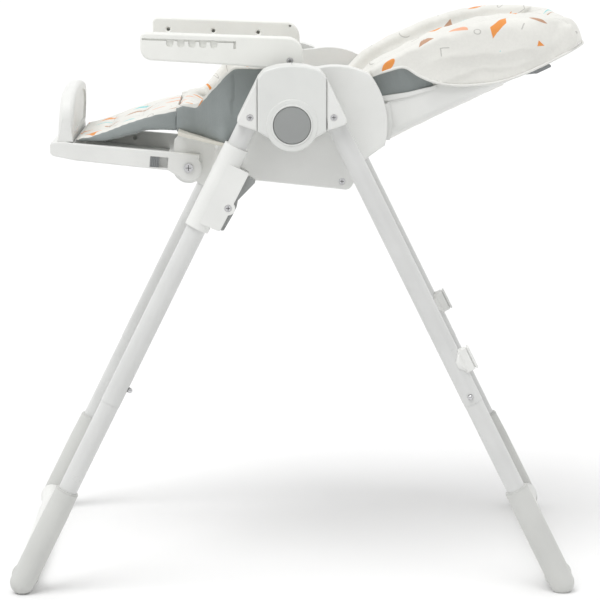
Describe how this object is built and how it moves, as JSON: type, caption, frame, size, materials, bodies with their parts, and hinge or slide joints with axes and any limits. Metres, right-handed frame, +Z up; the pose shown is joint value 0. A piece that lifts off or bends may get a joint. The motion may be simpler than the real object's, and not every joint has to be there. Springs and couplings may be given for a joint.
{
  "type": "baby high chair",
  "caption": "Folding baby high chair: A-frame on two floor bars, reclining padded seat that slides on the front legs, tilting legrest with foot board, armrests with tray rails.",
  "frame": {"origin": "on the floor in the middle of the chair's box, legs open and seat at its highest", "axes": "+Z up, the child faces -X, +Y is the child's right-hand side"},
  "size_m": [0.8587, 0.5846, 0.8528],
  "materials": {
    "white_plastic": "satin",
    "white_tube": "gloss",
    "grey_plastic": "satin",
    "steel": "satin",
    "pad_cover": "matte",
    "webbing": "matte"
  },
  "bodies": {
    "front_frame": {"front_leg_upper_left": "white_tube", "front_leg_upper_right": "white_tube", "front_leg_lower_left": "white_tube", "front_leg_lower_right": "white_tube", "front_foot_left": "white_plastic", "front_foot_right": "white_plastic", "front_hub_bracket_left": "white_plastic", "front_hub_bracket_right": "white_plastic", "hub_cap_left": "white_plastic", "hub_cap_right": "white_plastic", "front_crossbar": "white_plastic", "hub_pivot_bolts": "steel", "front_snap_buttons": "steel", "front_wing_screws": "steel", "fold_springs": "steel"},
    "rear_frame": {"rear_leg_upper_left": "white_tube", "rear_leg_upper_right": "white_tube", "rear_leg_lower_left": "white_tube", "rear_leg_lower_right": "white_tube", "rear_foot_left": "white_plastic", "rear_foot_right": "white_plastic", "rear_hub_bracket_left": "white_plastic", "rear_hub_bracket_right": "white_plastic", "rear_crossbar": "white_plastic", "rear_snap_buttons": "steel", "rear_wing_screws": "steel", "tray_pegs": "white_plastic"},
    "fold_button_left": {"fold_button_left": "grey_plastic"},
    "fold_button_right": {"fold_button_right": "grey_plastic"},
    "seat": {"side_panel_left": "white_plastic", "side_panel_right": "white_plastic", "side_liner_left": "white_plastic", "side_liner_right": "white_plastic", "armrest_outer_left": "white_plastic", "armrest_outer_right": "white_plastic", "armrest_inner_left": "white_plastic", "armrest_inner_right": "white_plastic", "slider_left": "white_plastic", "slider_right": "white_plastic", "legrest_bracket_left": "white_plastic", "legrest_bracket_right": "white_plastic", "seat_pan": "white_plastic", "lever_screws": "steel", "hinge_pins": "steel", "seat_screws": "steel", "seat_pad": "pad_cover", "crotch_strap": "webbing", "lap_straps": "webbing", "buckle": "grey_plastic"},
    "height_lever_left": {"height_lever_left": "grey_plastic"},
    "height_lever_right": {"height_lever_right": "grey_plastic"},
    "backrest": {"backrest_shell": "white_plastic", "backrest_pad": "pad_cover", "shoulder_straps": "webbing"},
    "recline_lever": {"recline_lever": "grey_plastic"},
    "legrest": {"legrest_frame": "white_plastic", "foot_plate": "white_plastic", "calf_pad": "pad_cover"},
    "legrest_knob_left": {"legrest_knob_left": "grey_plastic"},
    "legrest_knob_right": {"legrest_knob_right": "grey_plastic"}
  },
  "joints": [
    {"name": "rear_leg_fold", "type": "hinge", "parent": "front_frame", "child": "rear_frame", "pos_m": [-0.0072, 0, 0.7045], "axis": [0, 1, 0], "range_deg": [0, 52]},
    {"name": "fold_button_left_press", "type": "slide", "parent": "front_frame", "child": "fold_button_left", "axis": [0, 1, 0], "range_m": [0, 0.005], "stiffness_N_per_m": 600, "springref_m": -0.002, "deforming": ["fold_springs"]},
    {"name": "fold_button_right_press", "type": "slide", "parent": "front_frame", "child": "fold_button_right", "axis": [0, -1, 0], "range_m": [0, 0.005], "stiffness_N_per_m": 600, "springref_m": -0.002, "deforming": ["fold_springs"]},
    {"name": "seat_height", "type": "slide", "parent": "front_frame", "child": "seat", "axis": [-0.4433, 0, -0.8964], "range_m": [0, 0.24]},
    {"name": "height_lever_left_squeeze", "type": "hinge", "parent": "seat", "child": "height_lever_left", "pos_m": [-0.10001, -0.2605, 0.58235], "axis": [0, -1, 0], "range_deg": [0, 10], "stiffness_Nm_per_rad": 0.4, "springref_deg": -6.88},
    {"name": "height_lever_right_squeeze", "type": "hinge", "parent": "seat", "child": "height_lever_right", "pos_m": [-0.10001, 0.2605, 0.58235], "axis": [0, -1, 0], "range_deg": [0, 10], "stiffness_Nm_per_rad": 0.4, "springref_deg": -6.88},
    {"name": "backrest_recline", "type": "hinge", "parent": "seat", "child": "backrest", "pos_m": [0.0053, 0, 0.698], "axis": [0, -1, 0], "range_deg": [0, 55]},
    {"name": "recline_lever_squeeze", "type": "hinge", "parent": "backrest", "child": "recline_lever", "pos_m": [0.34248, 0, 0.75958], "axis": [0, -1, 0], "range_deg": [0, 12], "stiffness_Nm_per_rad": 0.5, "springref_deg": -6.88},
    {"name": "legrest_tilt", "type": "hinge", "parent": "seat", "child": "legrest", "pos_m": [-0.1616, 0, 0.6258], "axis": [0, -1, 0], "range_deg": [0, 75]},
    {"name": "legrest_knob_left_slide", "type": "slide", "parent": "legrest", "child": "legrest_knob_left", "axis": [0.9965, 0, -0.0837], "range_m": [0, 0.013], "stiffness_N_per_m": 300, "springref_m": -0.002},
    {"name": "legrest_knob_right_slide", "type": "slide", "parent": "legrest", "child": "legrest_knob_right", "axis": [0.9965, 0, -0.0837], "range_m": [0, 0.013], "stiffness_N_per_m": 300, "springref_m": -0.002}
  ]
}
